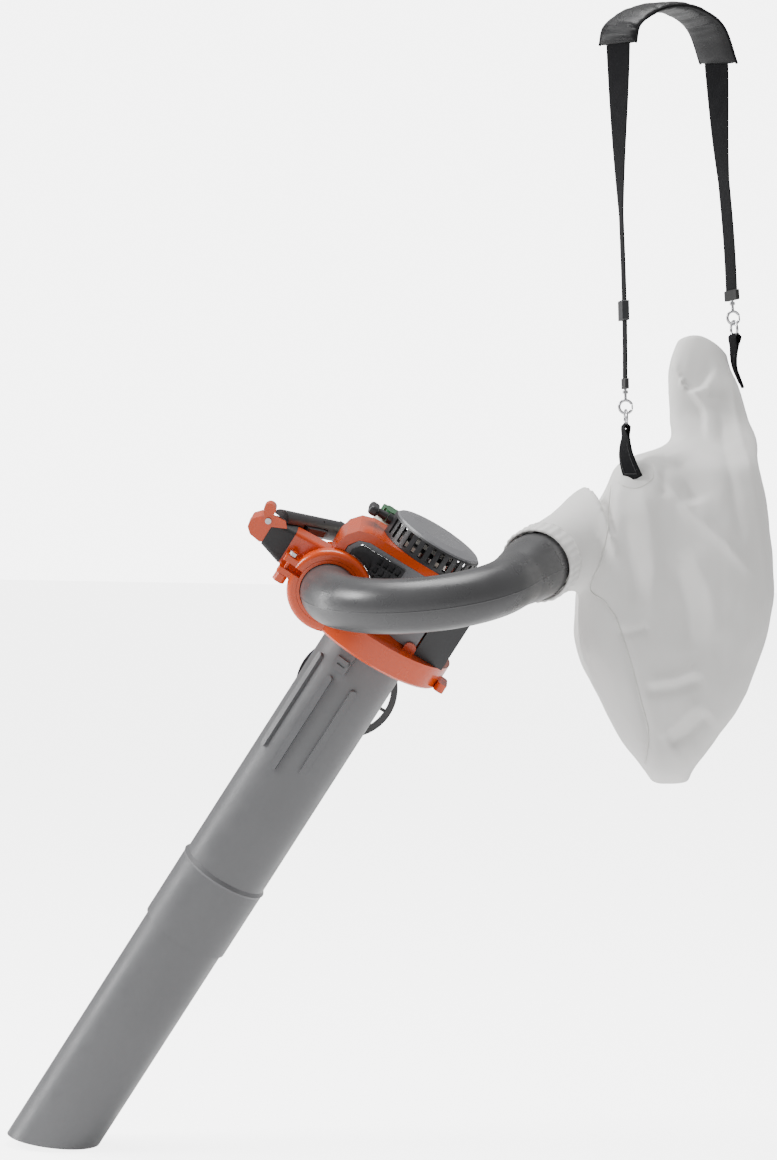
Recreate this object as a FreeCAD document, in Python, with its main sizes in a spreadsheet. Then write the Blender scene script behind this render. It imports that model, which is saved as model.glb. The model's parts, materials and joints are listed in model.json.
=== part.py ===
"""Handheld petrol blower in its vacuum fit: suction tubes, fan and engine head, elbow, bag and strap.

World frame: millimetres, +Z up. The origin is the centre of the suction mouth. The tube leans
towards +X, and the fan and crank axis is the tube axis. Head parts are drawn in a head frame whose
z is the crank axis (0 at the underside of the fan housing), y is the outlet and x is the handle side.
"""
import FreeCAD, Part
import math
import os
import Sketcher

V = FreeCAD.Vector
os.makedirs("parts", exist_ok=True)
doc = FreeCAD.newDocument("blower")

# ---------------------------------------------------------------- driving dimensions
SIZES = {
    "lean_angle": 33.62, "mouth_tilt": 6.9, "head_turn": 19.0,
    "lower_length": 372, "sleeve_start": 353, "upper_bead": 454, "upper_end": 824,
    "tube_radius": 58, "tube_wall": 2, "sleeve_radius": 60.5, "lower_radius": 57.6,
    "lower_wall": 2.6,
    "fan_radius": 104, "fan_wall": 3, "fan_height": 30, "inlet_radius": 46,
    "spigot_radius": 55.6, "spigot_drop": 26,
    "duct_x": 89, "duct_z": 50, "duct_radius": 42, "duct_bore": 38.2, "duct_front": 62,
    "collar_radius": 55, "collar_width": 24, "collar_bore": 42.4,
    "bend_radius": 122, "bend_angle": 158.6, "bend_tilt": 37.2, "elbow_run": 128,
    "elbow_radius": 36, "elbow_mouth": 37.4, "elbow_bell": 44, "elbow_wall": 2.2,
    "impeller_radius": 74, "impeller_height": 22, "blade_count": 10,
    "shaft_radius": 7.5, "bearing_radius": 17, "crank_throw": 13, "web_radius": 20.4,
    "case_radius": 34, "bore_radius": 17.5, "cylinder_radius": 25, "fin_radius": 30,
    "drum_radius": 64, "drum_base": 143, "drum_height": 31, "slot_count": 32,
    "pulley_radius": 36, "webbing_width": 38, "webbing_thick": 2.4, "pad_width": 58,
}
sheet = doc.addObject("Spreadsheet::Sheet", "Sheet")
for row, (alias, value) in enumerate(SIZES.items(), start=1):
    sheet.set("A%d" % row, alias)
    sheet.set("B%d" % row, str(value))
    sheet.setAlias("B%d" % row, alias)
doc.recompute()


def size(alias):
    """A driving dimension as a number, read back from the sheet."""
    return float(sheet.get(alias))


# ---------------------------------------------------------------- frames
LEAN = FreeCAD.Rotation(V(0, 1, 0), size("lean_angle"))
TUBE = FreeCAD.Placement(V(0, 0, 0), LEAN)
HEAD_TURN = FreeCAD.Rotation(V(0, 0, 1), 180 + size("head_turn"))
HEAD = FreeCAD.Placement(LEAN.multVec(V(0, 0, size("upper_end") + 1)), LEAN.multiply(HEAD_TURN))
WORLD = FreeCAD.Placement()
AXIS_X = FreeCAD.Rotation(V(0, 1, 0), 90)
AXIS_Y = FreeCAD.Rotation(V(1, 0, 0), -90)
AXIS_Z = FreeCAD.Rotation()
AXIS_DOWN = FreeCAD.Rotation(V(0, 1, 0), -90)
PIECES = []


def keep(label, item, frame):
    """Register a finished sub-part under its own label, placed by its frame."""
    item.Label = label
    item.Placement = frame.multiply(item.Placement)
    PIECES.append(item)
    return item


def solid(kind, at=(0, 0, 0), turn=AXIS_Z, **sizes):
    """A Part primitive whose sizes are sheet expressions or numbers."""
    item = doc.addObject("Part::" + kind, kind.lower())
    for name, value in sizes.items():
        if isinstance(value, str):
            item.setExpression(name, value)
        else:
            setattr(item, name, value)
    item.Placement = FreeCAD.Placement(V(*at), turn)
    return item


def rod(radius, length, at=(0, 0, 0), turn=AXIS_Z):
    return solid("Cylinder", at, turn, Radius=radius, Height=length)


def block(length, width, height, at=(0, 0, 0), turn=AXIS_Z):
    return solid("Box", at, turn, Length=length, Width=width, Height=height)


def fuse(*items):
    item = doc.addObject("Part::MultiFuse", "fuse")
    item.Shapes = list(items)
    return item


def cut(base, *tools):
    item = doc.addObject("Part::Cut", "cut")
    item.Base = base
    item.Tool = tools[0] if len(tools) == 1 else fuse(*tools)
    return item


def rounded(base, radius, pick):
    """Round the edges of a box-like item that pick() accepts."""
    doc.recompute()
    item = doc.addObject("Part::Fillet", "fillet")
    item.Base = base
    chosen = [n + 1 for n, edge in enumerate(base.Shape.Edges) if pick(edge)]
    item.Edges = [(number, radius, radius) for number in chosen]
    return item


def along(direction):
    """Edge filter: straight edges that run along a direction."""
    def test(edge):
        if not isinstance(edge.Curve, Part.Line):
            return False
        return abs(abs(edge.Curve.Direction.dot(V(*direction))) - 1) < 1e-6
    return test


def ring(outer, inner, length, at=(0, 0, 0), turn=AXIS_Z):
    return cut(rod(outer, length, at, turn), rod(inner, length, at, turn))


def shaped(shape):
    """A Part::Feature holding a shape built with Part's own functions."""
    item = doc.addObject("Part::Feature", "shape")
    item.Shape = shape
    return item


def circle(centre, direction, radius):
    return Part.Wire(Part.makeCircle(radius, V(*centre), V(*direction)))


def origin_plane(body, role):
    return [item for item in body.Origin.OriginFeatures if item.Role == role][0]


def outline_sketch(body, name, outline, role="XZ_Plane", bindings=()):
    """A closed, fully dimensioned outline on one of the body's origin planes.

    bindings: (point index, axis, expression), which tie a coordinate to the sheet.
    """
    sketch = body.newObject("Sketcher::SketchObject", name)
    sketch.AttachmentSupport = (origin_plane(body, role), [""])
    sketch.MapMode = "FlatFace"
    count = len(outline)
    for index, point in enumerate(outline):
        after = outline[(index + 1) % count]
        sketch.addGeometry(Part.LineSegment(V(point[0], point[1], 0), V(after[0], after[1], 0)))
    for index in range(count):
        sketch.addConstraint(Sketcher.Constraint("Coincident", index, 2, (index + 1) % count, 1))
    for index, point in enumerate(outline):
        for axis, value in (("DistanceX", point[0]), ("DistanceY", point[1])):
            if abs(value) < 1e-9:
                line = -2 if axis == "DistanceX" else -1
                sketch.addConstraint(Sketcher.Constraint("PointOnObject", index, 1, line))
                continue
            number = sketch.addConstraint(Sketcher.Constraint(axis, -1, 1, index, 1, value))
            bound = [rule for at, side, rule in bindings if at == index and side == axis[-1]]
            if bound:
                sketch.setExpression("Constraints[%d]" % number, bound[0])
    return sketch


def revolved_body(name, outline, bindings=()):
    """A PartDesign body: a closed outline in the XZ plane turned about Z.

    outline: (radius, height) points. bindings: (point index, axis, expression) constraints.
    """
    body = doc.addObject("PartDesign::Body", name)
    sketch = outline_sketch(body, name + "_sketch", outline, "XZ_Plane", bindings)
    turned = body.newObject("PartDesign::Revolution", name + "_turn")
    turned.Profile = sketch
    turned.ReferenceAxis = (sketch, ["V_Axis"])
    turned.Angle = 360
    doc.recompute()
    return body


def pattern(body, feature, count):
    """Repeat a feature of a body about Z."""
    polar = body.newObject("PartDesign::PolarPattern", feature.Name + "_pattern")
    polar.Originals = [feature]
    polar.Axis = (origin_plane(body, "Z_Axis"), [""])
    polar.Angle = 360
    polar.setExpression("Occurrences", count)
    body.Tip = polar
    return polar


# ---------------------------------------------------------------- suction tubes
def lower_tube():
    """Lower tube with its oblique mouth; its upper end slides into the sleeve."""
    body = revolved_body(
        "lower_tube_body",
        [(55, -80), (57.6, -80), (57.6, 372), (55, 372)],
        [(0, "X", "Sheet.lower_radius - Sheet.lower_wall"), (1, "X", "Sheet.lower_radius"),
         (2, "X", "Sheet.lower_radius"), (2, "Y", "Sheet.lower_length"),
         (3, "X", "Sheet.lower_radius - Sheet.lower_wall"), (3, "Y", "Sheet.lower_length")])
    plane = FreeCAD.Rotation(V(0, 1, 0), size("mouth_tilt") - size("lean_angle"))
    below = block(400, 400, 400)
    below.Placement = FreeCAD.Placement(plane.multVec(V(-200, -200, -400)), plane)
    keep("lower_tube", cut(body, below), TUBE)


def upper_tube():
    """Upper tube with its belled sleeve, bead and three moulded ribs."""
    start, bead, end = size("sleeve_start"), size("upper_bead"), size("upper_end")
    radius, sleeve, wall = size("tube_radius"), size("sleeve_radius"), size("tube_wall")
    body = revolved_body(
        "upper_tube_body",
        [(sleeve - wall, start), (sleeve, start), (sleeve, bead - 3), (sleeve + 1.2, bead),
         (radius + 0.6, bead + 5), (radius, end), (radius - wall, end),
         (radius - wall, bead - 72), (sleeve - wall, bead - 76)],
        [(0, "Y", "Sheet.sleeve_start"), (1, "X", "Sheet.sleeve_radius"),
         (1, "Y", "Sheet.sleeve_start"), (2, "X", "Sheet.sleeve_radius"),
         (5, "X", "Sheet.tube_radius"), (5, "Y", "Sheet.upper_end")])
    ribs = []
    for angle, low, high in ((-128, 640, 790), (-96, 625, 775), (-60, 640, 775)):
        rib = block(6, 9, high - low, (radius - 1.6, -4.5, low))
        rib = rounded(rib, 4.4, along((1, 0, 0)))
        rib.Placement = FreeCAD.Placement(V(), FreeCAD.Rotation(V(0, 0, 1), angle))
        ribs.append(rib)
    inside = rod("Sheet.tube_radius - Sheet.tube_wall", 400, (0, 0, 560))
    keep("upper_tube", fuse(body, cut(fuse(*ribs), inside)), TUBE)


def tube_latch():
    """Sprung tongue on the upper tube that snaps under the housing rim."""
    angle = FreeCAD.Rotation(V(0, 0, 1), -92)
    radius = size("tube_radius")
    tongue = block(4, 22, 34, (radius + 0.4, -11, 786))
    tongue = rounded(tongue, 3, along((1, 0, 0)))
    nose = block(5, 18, 5, (radius + 3.6, -9, 800))
    latch = cut(fuse(tongue, nose), block(9, 12, 2.4, (radius + 2.4, -6, 794)))
    latch.Placement = FreeCAD.Placement(V(), angle)
    keep("tube_latch", latch, TUBE)


# ---------------------------------------------------------------- fan housing and outlet
def duct_envelope(radius, front, back=-30, extra=0):
    """Outlet duct: a cylinder along +y closed at the back by a ball."""
    at = (size("duct_x"), back, size("duct_z"))
    barrel = rod(radius, front - back + extra, at, AXIS_Y)
    ball = solid("Sphere", at, AXIS_Z, Radius=radius)
    return fuse(barrel, ball)


def elbow_bay(height, low):
    """Hollow in the fan housing's rim that clears the elbow, and the wall that closes it."""
    at = (size("duct_x"), size("duct_front") - 0.3, size("duct_z"))
    bay = rod(43, 60, at, AXIS_Y)
    wall = doc.addObject("Part::Common", "bay_wall")
    wall.Base = rod("Sheet.fan_radius", height, (0, 0, low))
    wall.Tool = ring(46, 43, 60, at, AXIS_Y)
    return bay, wall


def fan_housings():
    """Lower shell with the inlet spigot, and upper shell with the outlet duct."""
    body = revolved_body(
        "fan_housing_lower_body",
        [(46, 0), (46, -26), (55.6, -26), (55.6, 0), (101, 0), (104, 3), (104, 30),
         (101, 30), (101, 3), (58, 3), (50, 6), (46, 6)],
        [(0, "X", "Sheet.inlet_radius"), (2, "X", "Sheet.spigot_radius"),
         (5, "X", "Sheet.fan_radius"), (6, "X", "Sheet.fan_radius"),
         (6, "Y", "Sheet.fan_height"), (7, "Y", "Sheet.fan_height")])
    lip = block(14, 40, 12, (-112, 6, 4))
    lip = rounded(lip, 6, along((0, 0, 1)))
    chamber = rod("Sheet.fan_radius - Sheet.fan_wall", 60, (0, 0, 3))
    lugs = [block(6, 12, 14, (x, -81.5, -14)) for x in (-34, 2)]
    lugs = cut(fuse(*lugs), rod(2.05, 80, (-50, -75.5, -9), AXIS_X))
    bay, wall = elbow_bay("Sheet.fan_height", 0)
    shell = cut(fuse(body, cut(lip, chamber), lugs), duct_envelope("Sheet.duct_radius + 0.3", 62), bay)
    keep("fan_housing_lower", fuse(shell, wall), HEAD)

    plate = rod("Sheet.fan_radius", 4, (0, 0, size("fan_height") + 0.1))
    dome = solid("Cone", (0, 0, 34), AXIS_Z, Radius1=72, Radius2=50, Height=12)
    shell = fuse(plate, dome, duct_envelope("Sheet.duct_radius", size("duct_front")))
    hollow = duct_envelope("Sheet.duct_bore", size("duct_front"), -30, 1)
    sweep = rod("Sheet.fan_radius - Sheet.fan_wall", 40, (0, 0, -10))
    dish = solid("Cone", (0, 0, 29), AXIS_Z, Radius1=70, Radius2=48, Height=12)
    shaft_hole = rod(12, 60, (0, 0, 5))
    lug = rounded(block(16, 5, 14, (-49, 62.6, 33)), 7, lambda edge: edge.BoundBox.YLength > 4
                  and edge.BoundBox.ZMin > 40)
    bay, wall = elbow_bay(4, size("fan_height") + 0.1)
    shell = cut(shell, hollow, sweep, dish, shaft_hole, bay)
    keep("fan_housing_upper", fuse(shell, wall, lug), HEAD)


def outlet_collar():
    """Clamp collar around the duct end, with two ears for the clamp screw."""
    x, z = size("duct_x"), size("duct_z")
    front = size("duct_front") - 8
    barrel = rod("Sheet.collar_radius", "Sheet.collar_width", (x, front, z), AXIS_Y)
    doc.recompute()
    barrel = rounded(barrel, 7, lambda edge: True)
    ears = []
    for low in (z - 13, z + 5):
        ears.append(rounded(block(22, 18, 8, (x + 50, front + 3, low)), 3, along((0, 0, 1))))
    bore = rod("Sheet.collar_bore", 40, (x, front - 4, z), AXIS_Y)
    slit = block(44, 40, 9.6, (x + 36, front - 4, z - 4.8))
    hole = rod(3.2, 60, (x + 63, front + 12, z - 30))
    rim = rod("Sheet.fan_radius + 0.3", 36, (0, 0, -1))
    lip = ring(42, 37.9, 6, (x, front + 18, z), AXIS_Y)
    dome = solid("Cone", (0, 0, 33.6), AXIS_Z, Radius1=73, Radius2=51, Height=13)
    collar = fuse(cut(fuse(barrel, *ears), bore, slit, hole, rim, dome), lip)
    keep("outlet_collar", collar, HEAD)


def clamp_knob():
    x, y, z = size("duct_x") + 63, size("duct_front") + 4, size("duct_z")
    stem = rod(3, 44, (x, y, z - 24))
    head = doc.addObject("Part::Prism", "prism")
    head.Polygon = 6
    head.Circumradius = 8.5
    head.Height = 11
    head.Placement = FreeCAD.Placement(V(x, y, z - 25), AXIS_Z)
    keep("clamp_knob", fuse(stem, head), HEAD)


# ---------------------------------------------------------------- elbow
def elbow_frame():
    """Start point, outlet direction and inward direction of the elbow's bend."""
    tilt = math.radians(size("bend_tilt"))
    start = V(size("duct_x"), size("duct_front") + 8, size("duct_z"))
    return start, V(0, 1, 0), V(-math.cos(tilt), 0, math.sin(tilt))


def elbow_point(distance):
    """Point and direction on the elbow's centre line, distance from the start of the bend."""
    start, out, inward = elbow_frame()
    radius = size("bend_radius")
    total = math.radians(size("bend_angle"))
    if distance <= 0:
        return start + out * distance, out
    turn = min(distance / radius, total)
    place = start + out * (radius * math.sin(turn)) + inward * (radius * (1 - math.cos(turn)))
    heading = out * math.cos(turn) + inward * math.sin(turn)
    rest = max(0, distance - radius * total)
    return place + heading * rest, heading


def elbow():
    """Spigot, bend, flare and bell: outer solids less inner ones that run past both ends."""
    start, out, inward = elbow_frame()
    end, heading = elbow_point(size("bend_radius") * math.radians(size("bend_angle")))
    middle = start + inward * size("bend_radius")
    bend = FreeCAD.Rotation(inward * -1, out, out.cross(inward), "ZXY")
    forward = FreeCAD.Rotation(V(0, 0, 1), heading)
    bell_length = size("elbow_run") - 78
    shells = []
    for wall, over in (("", 0), (" - Sheet.elbow_wall", 1)):
        spigot = rod("Sheet.elbow_mouth" + wall, 22 + over, start - out * (22 + over), AXIS_Y)
        curve = solid("Torus", middle, bend, Radius1="Sheet.bend_radius",
                      Radius2="Sheet.elbow_radius" + wall, Angle3="Sheet.bend_angle")
        straight = rod("Sheet.elbow_radius" + wall, 20, end, forward)
        flare = solid("Cone", end + heading * 20, forward, Radius1="Sheet.elbow_radius" + wall,
                      Radius2="Sheet.elbow_bell" + wall, Height=58)
        bell = rod("Sheet.elbow_bell" + wall, bell_length + over, end + heading * 78, forward)
        shells.append(fuse(spigot, curve, straight, flare, bell))
    keep("elbow_tube", cut(*shells), HEAD)


def slab(name, outline, near, far):
    """A PartDesign body: an outline in the head's XZ plane padded from y = near to y = far."""
    body = doc.addObject("PartDesign::Body", name)
    sketch = outline_sketch(body, name + "_sketch", outline)
    sketch.AttachmentOffset = FreeCAD.Placement(V(0, 0, -near), AXIS_Z)
    thick = body.newObject("PartDesign::Pad", name + "_pad")
    thick.Profile = sketch
    thick.Length = far - near
    thick.Reversed = True
    doc.recompute()
    return body


# ---------------------------------------------------------------- rotating parts
def impeller():
    """Backplate, hub and a polar pattern of swept blades."""
    body = revolved_body(
        "impeller_body",
        [(7.55, 8), (16, 8), (18, 24), (74, 24), (74, 26), (20, 26), (16, 30), (7.55, 30)],
        [(0, "X", "Sheet.shaft_radius + 0.05"), (3, "X", "Sheet.impeller_radius"),
         (4, "X", "Sheet.impeller_radius"), (7, "X", "Sheet.shaft_radius + 0.05")])
    sweep = math.radians(24)
    outline = []
    for radius, side in ((44, 1), (71, 1), (71, -1), (44, -1)):
        angle = sweep * (radius - 44) / 27.0
        outline.append((radius * math.cos(angle) - side * math.sin(angle),
                        radius * math.sin(angle) + side * math.cos(angle)))
    sketch = outline_sketch(body, "blade_sketch", outline, "XY_Plane")
    sketch.AttachmentOffset = FreeCAD.Placement(V(0, 0, 6.5), AXIS_Z)
    blade = body.newObject("PartDesign::Pad", "blade")
    blade.Profile = sketch
    blade.Length = 18
    doc.recompute()
    pattern(body, blade, "Sheet.blade_count")
    keep("impeller", body, HEAD)


def crankshaft():
    shaft = rod("Sheet.shaft_radius", 70, (0, 0, 9))
    tail = rod("Sheet.shaft_radius", 53, (0, 0, 91))
    webs = []
    for low in (72, 91):
        sides = [block(60, 20, 9, (x, 2, low - 1)) for x in (12, -72)]
        webs.append(cut(rod("Sheet.web_radius", 7, (0, 0, low)), *sides))
    pin = rod(6, 14, (0, size("crank_throw"), 78))
    keep("crankshaft", fuse(shaft, tail, pin, *webs), HEAD)


def flywheel():
    """Flywheel with cooling pockets and two magnets set into its rim."""
    body = revolved_body(
        "flywheel_body",
        [(7.55, 118), (44, 118), (44, 127), (30, 129), (12, 129), (12, 132), (7.55, 132)],
        [(0, "X", "Sheet.shaft_radius + 0.05"), (6, "X", "Sheet.shaft_radius + 0.05")])
    magnets = [block(7, 12, 8, (32, -20, 121)), block(7, 12, 8, (32, 8, 121))]
    pockets = [rod(4, 20, (22 * math.cos(a), 22 * math.sin(a), 115)) for a in (1.9, 3.14, 4.4)]
    keep("flywheel", cut(body, *pockets, *magnets), HEAD)


# ---------------------------------------------------------------- engine
CRANK_Z = 85


def bearings():
    for label, low in (("fan_side_bearing", 55), ("starter_side_bearing", 108)):
        inner = "Sheet.shaft_radius + 0.03"
        race = ring("Sheet.bearing_radius", inner, 7, (0, 0, low))
        groove = ring(14, 10.5, 1.5, (0, 0, low + 5.6))
        keep(label, cut(race, groove), HEAD)


def crankcase():
    """Round case with a neck towards the cylinder and four feet on the fan housing."""
    shell = rod("Sheet.case_radius", 62, (0, 0, 54))
    neck = block(22, 50, 56, (-40, -25, 57))
    feet = [rod(6, 12, (x, y, 46.2)) for x in (-24, 24) for y in (-24, 24)]
    cavity = rod(27, 44, (0, 0, 63))
    seats = [rod("Sheet.bearing_radius + 0.02", 7.3, (0, 0, low)) for low in (54.9, 107.9)]
    through = rod(12, 90, (0, 0, 40))
    spigot = rod(20.4, 30, (-15, 0, CRANK_Z), AXIS_DOWN)
    keep("crankcase", cut(fuse(shell, neck, *feet), cavity, *seats, through, spigot), HEAD)


def cylinder():
    """Finned cylinder with its inlet and exhaust ports, pointing away from the handle."""
    barrel = rod("Sheet.cylinder_radius", 38, (-40.2, 0, CRANK_Z), AXIS_DOWN)
    skirt = rod(20, 16, (-28, 0, CRANK_Z), AXIS_DOWN)
    fins = [rod("Sheet.fin_radius", 1.8, (-43 - 5 * n, 0, CRANK_Z), AXIS_DOWN) for n in range(7)]
    ports = [block(18, 11, 20, (-66, y, CRANK_Z - 10)) for y in (21, -32)]
    bore = rod("Sheet.bore_radius", 48, (-24, 0, CRANK_Z), AXIS_DOWN)
    holes = [rod(6, 30, (-57, y, CRANK_Z), AXIS_Y) for y in (12, -42)]
    plug_hole = rod(5.1, 20, (-68, 0, CRANK_Z), AXIS_DOWN)
    shape = cut(fuse(barrel, skirt, *fins, *ports), bore, plug_hole, *holes)
    keep("engine_cylinder", shape, HEAD)


def piston():
    """Piston with its ring grooves, at mid stroke, and the gudgeon pin across it."""
    crown = rod("Sheet.bore_radius - 0.05", 22, (-34, 0, CRANK_Z), AXIS_DOWN)
    hollow = rod(13.5, 18, (-33, 0, CRANK_Z), AXIS_DOWN)
    grooves = [ring(19, 16.4, 1.2, (-50 - 2.4 * n, 0, CRANK_Z), AXIS_DOWN) for n in range(2)]
    pin_hole = rod(4.05, 40, (-42, -20, CRANK_Z), AXIS_Y)
    keep("piston", cut(crown, hollow, pin_hole, *grooves), HEAD)
    keep("gudgeon_pin", ring(4, 2.4, 33, (-42, -16.5, CRANK_Z), AXIS_Y), HEAD)


def ignition():
    """Spark plug in the cylinder head, and the coil that faces the flywheel's rim."""
    thread = rod(5, 6.6, (-72.4, 0, CRANK_Z), AXIS_DOWN)
    seat = rod(7, 4, (-78.6, 0, CRANK_Z), AXIS_DOWN)
    stem = rod(3, 5, (-82.6, 0, CRANK_Z), AXIS_DOWN)
    keep("spark_plug", fuse(thread, seat, stem), HEAD)
    core = block(11, 30, 9, (-63, -15, 119))
    legs = [block(10, 7, 9, (-54.5, side, 119)) for side in (-15, 8)]
    keep("ignition_coil", fuse(core, *legs), HEAD)


def exhaust():
    """Silencer box on the cylinder's exhaust port."""
    box = rounded(block(44, 17, 46, (-81, 38, 62)), 7, lambda edge: True)
    port = rod(9, 6.5, (-57, 32.3, CRANK_Z), AXIS_Y)
    inside = block(39, 12, 41, (-78.5, 40.5, 64.5))
    tunnel = rod(6, 12, (-57, 31, CRANK_Z), AXIS_Y)
    keep("muffler", cut(fuse(box, port), inside, tunnel), HEAD)


def fuel_side():
    """Carburettor, choke, primer, filter and its cover, then the tank with its cap."""
    body = rounded(block(30, 20, 30, (-72, -58, 70)), 3, along((0, 1, 0)))
    flange = block(22, 6, 24, (-68, -38.2, 73))
    throat = rod(6, 40, (-57, -70, CRANK_Z), AXIS_Y)
    recess = rod(9.6, 5, (-57, -48, 69.5))
    keep("carburettor", cut(fuse(body, flange), throat, recess), HEAD)
    keep("air_filter", rounded(block(40, 12, 36, (-77, -72, 54)), 4, along((0, 1, 0))), HEAD)
    outside = rounded(block(56, 44, 48, (-85, -103, 46.4)), 8, lambda edge: True)
    room = block(50, 44, 42, (-82, -100, 49.4))
    keep("air_filter_cover", cut(outside, room), HEAD)
    lever = fuse(rod(5, 4, (-57, -48, 100.4)), block(22, 5, 4, (-79, -50.5, 100.4)))
    keep("choke_lever", lever, HEAD)
    bulb = solid("Sphere", (-57, -48, 67.6), AXIS_Z, Radius=9, Angle1=-90, Angle2=0)
    keep("primer_bulb", fuse(bulb, rod(9, 2, (-57, -48, 67.5))), HEAD)

    outside = rounded(block(116, 46, 40, (-38, -112, 97)), 10, lambda edge: True)
    room = rounded(block(110, 40, 34, (-35, -109, 100)), 7, lambda edge: True)
    neck = rod(13, 8, (59, -88, 134))
    mouth = rod(9.5, 20, (59, -88, 124))
    keep("fuel_tank", cut(fuse(outside, neck), room, mouth), HEAD)
    cap = cut(rod(18, 15, (59, -88, 138)), rod(13.2, 10, (59, -88, 132.3)))
    lobes = [rod(3, 20, (59 + 18.5 * math.cos(a), -88 + 18.5 * math.sin(a), 136))
             for a in [math.radians(45 * n) for n in range(8)]]
    keep("fuel_cap", cut(cap, *lobes), HEAD)


# ---------------------------------------------------------------- covers
def collar_envelope():
    return rod("Sheet.collar_radius + 0.4", 40, (size("duct_x"), size("duct_front") - 8.6,
                                                 size("duct_z")), AXIS_Y)


def covers():
    """Grey engine shroud with its grille, dark cylinder cover, and the orange frame over them."""
    high = size("drum_base")
    outline = [(-47, 38), (98, 38), (98, 112), (90, 126), (76, 130.8), (-47, 130.8)]
    skin = slab("shroud_body", outline, -33, 62)
    inner = [(-49, 36), (95, 36), (95, 111), (88, 123.6), (75, 128), (-49, 128)]
    room = slab("shroud_room", inner, -60, 59.5)
    window = block(60, 20, 40, (24, 50, 84))
    eye = rod(45, 30, (0, 0, 118))
    gap = block(30, 60, 40, (-60, -30, 110))
    dome = solid("Cone", (0, 0, 33.6), AXIS_Z, Radius1=73, Radius2=51, Height=13)
    duct = duct_envelope("Sheet.duct_radius + 0.4", 70)
    shroud = cut(skin, room, window, eye, gap, dome, duct, collar_envelope())
    keep("engine_shroud", shroud, HEAD)

    panel = slab("grille_body", [(18, 80), (92, 80), (92, 112), (82, 124), (18, 124)], 62.2, 65)
    back = block(57, 2.2, 38, (25.5, 60.2, 85))
    slots = [block(6, 8, 9, (22 + 9 * n, 62.3, low)) for n in range(4) for low in (112, 100, 88)]
    recess = rod(15, 8, (74, 62.3, 102), AXIS_Y)
    keep("engine_grille", cut(fuse(panel, back), recess, collar_envelope(), *slots), HEAD)

    lower = slab("cover_body", [(-92, 34.6), (-50, 34.6), (-50, 130.8), (-84, 130.8), (-92, 122)],
                 -34, 60)
    lower_room = slab("cover_room", [(-89, 37.6), (-40, 37.6), (-40, 128), (-83, 128), (-89, 121)],
                      -31, 57)
    slots = [block(10, 5, 66, (-97, -26 + 11 * n, 50)) for n in range(8)]
    port = block(26, 10, 34, (-70, -38, 68))
    dome = solid("Cone", (0, 0, 33.6), AXIS_Z, Radius1=73, Radius2=51, Height=13)
    keep("cylinder_cover", cut(lower, lower_room, port, dome, *slots), HEAD)

    band = [(99, 34.4), (112, 34.4), (112, 108), (108, 124), (97, 137), (80, high - 0.3),
            (-66, high - 0.3), (-66, 131.2), (76, 131.2), (90, 126.4), (99, 113)]
    arch = slab("arch_body", band, -33, 62.5)
    eye = rod(47, 40, (0, 0, 120))
    duct = duct_envelope("Sheet.duct_radius + 0.3", 70)
    keep("engine_frame", cut(arch, eye, duct, collar_envelope()), HEAD)


# ---------------------------------------------------------------- recoil starter
def starter():
    base, rise, radius = size("drum_base"), size("drum_height"), size("drum_radius")
    shell = revolved_body(
        "starter_body",
        [(49, base), (radius, base), (radius, base + rise - 4), (radius - 4, base + rise),
         (40, base + rise + 3), (0, base + rise + 3), (0, base + rise), (40, base + rise),
         (radius - 6, base + rise - 3), (radius - 3, base + rise - 6), (radius - 3, base + 3),
         (49, base + 3)],
        [(1, "X", "Sheet.drum_radius"), (1, "Y", "Sheet.drum_base"), (2, "X", "Sheet.drum_radius")])
    slots = []
    for n in range(int(size("slot_count"))):
        angle = 360.0 / size("slot_count") * n
        if abs((angle + 180) % 360 - 180) < 12:
            continue
        slot = block(14, 5.6, 22, (radius - 9, -2.8, base + 4.5))
        about = FreeCAD.Placement(V(), FreeCAD.Rotation(V(0, 0, 1), angle))
        slot.Placement = about.multiply(slot.Placement)
        slots.append(slot)
    post = rod(6, 27, (0, 0, base + 5))
    guide = rod(7, 12, (radius - 6, 0, base + 16), AXIS_X)
    eyelet = rod(3, 30, (radius - 14, 0, base + 16), AXIS_X)
    keep("starter_housing", cut(fuse(cut(shell, *slots), post, guide), eyelet), HEAD)

    wheel = revolved_body(
        "pulley_body",
        [(6.05, base + 6), (36, base + 6), (36, base + 8), (30, base + 10), (30, base + 18),
         (36, base + 20), (36, base + 22), (6.05, base + 22)],
        [(1, "X", "Sheet.pulley_radius"), (2, "X", "Sheet.pulley_radius")])
    keep("recoil_pulley", wheel, HEAD)
    keep("recoil_spring", ring(28, 24, 6, (0, 0, base + 22.4)), HEAD)
    coil = ring(34, 30.3, 7, (0, 0, base + 10.6))
    run = rod(1.8, 46, (32, 0, base + 16), AXIS_X)
    keep("starter_rope", fuse(cut(coil, rod(2.2, 30, (28, 0, base + 16), AXIS_X)), run), HEAD)
    neck = solid("Cone", (71.5, 0, base + 16), AXIS_X, Radius1=6, Radius2=5, Height=14)
    bar = rounded(block(14, 34, 13, (84, -17, base + 9.5)), 5, lambda edge: True)
    grip = cut(fuse(neck, bar), rod(2.1, 14, (68, 0, base + 16), AXIS_X))
    keep("starter_grip", grip, HEAD)


# ---------------------------------------------------------------- handle
BAR_FRONT = V(190, 32, 88)
BAR_REAR = V(108, -92, 88)


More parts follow.
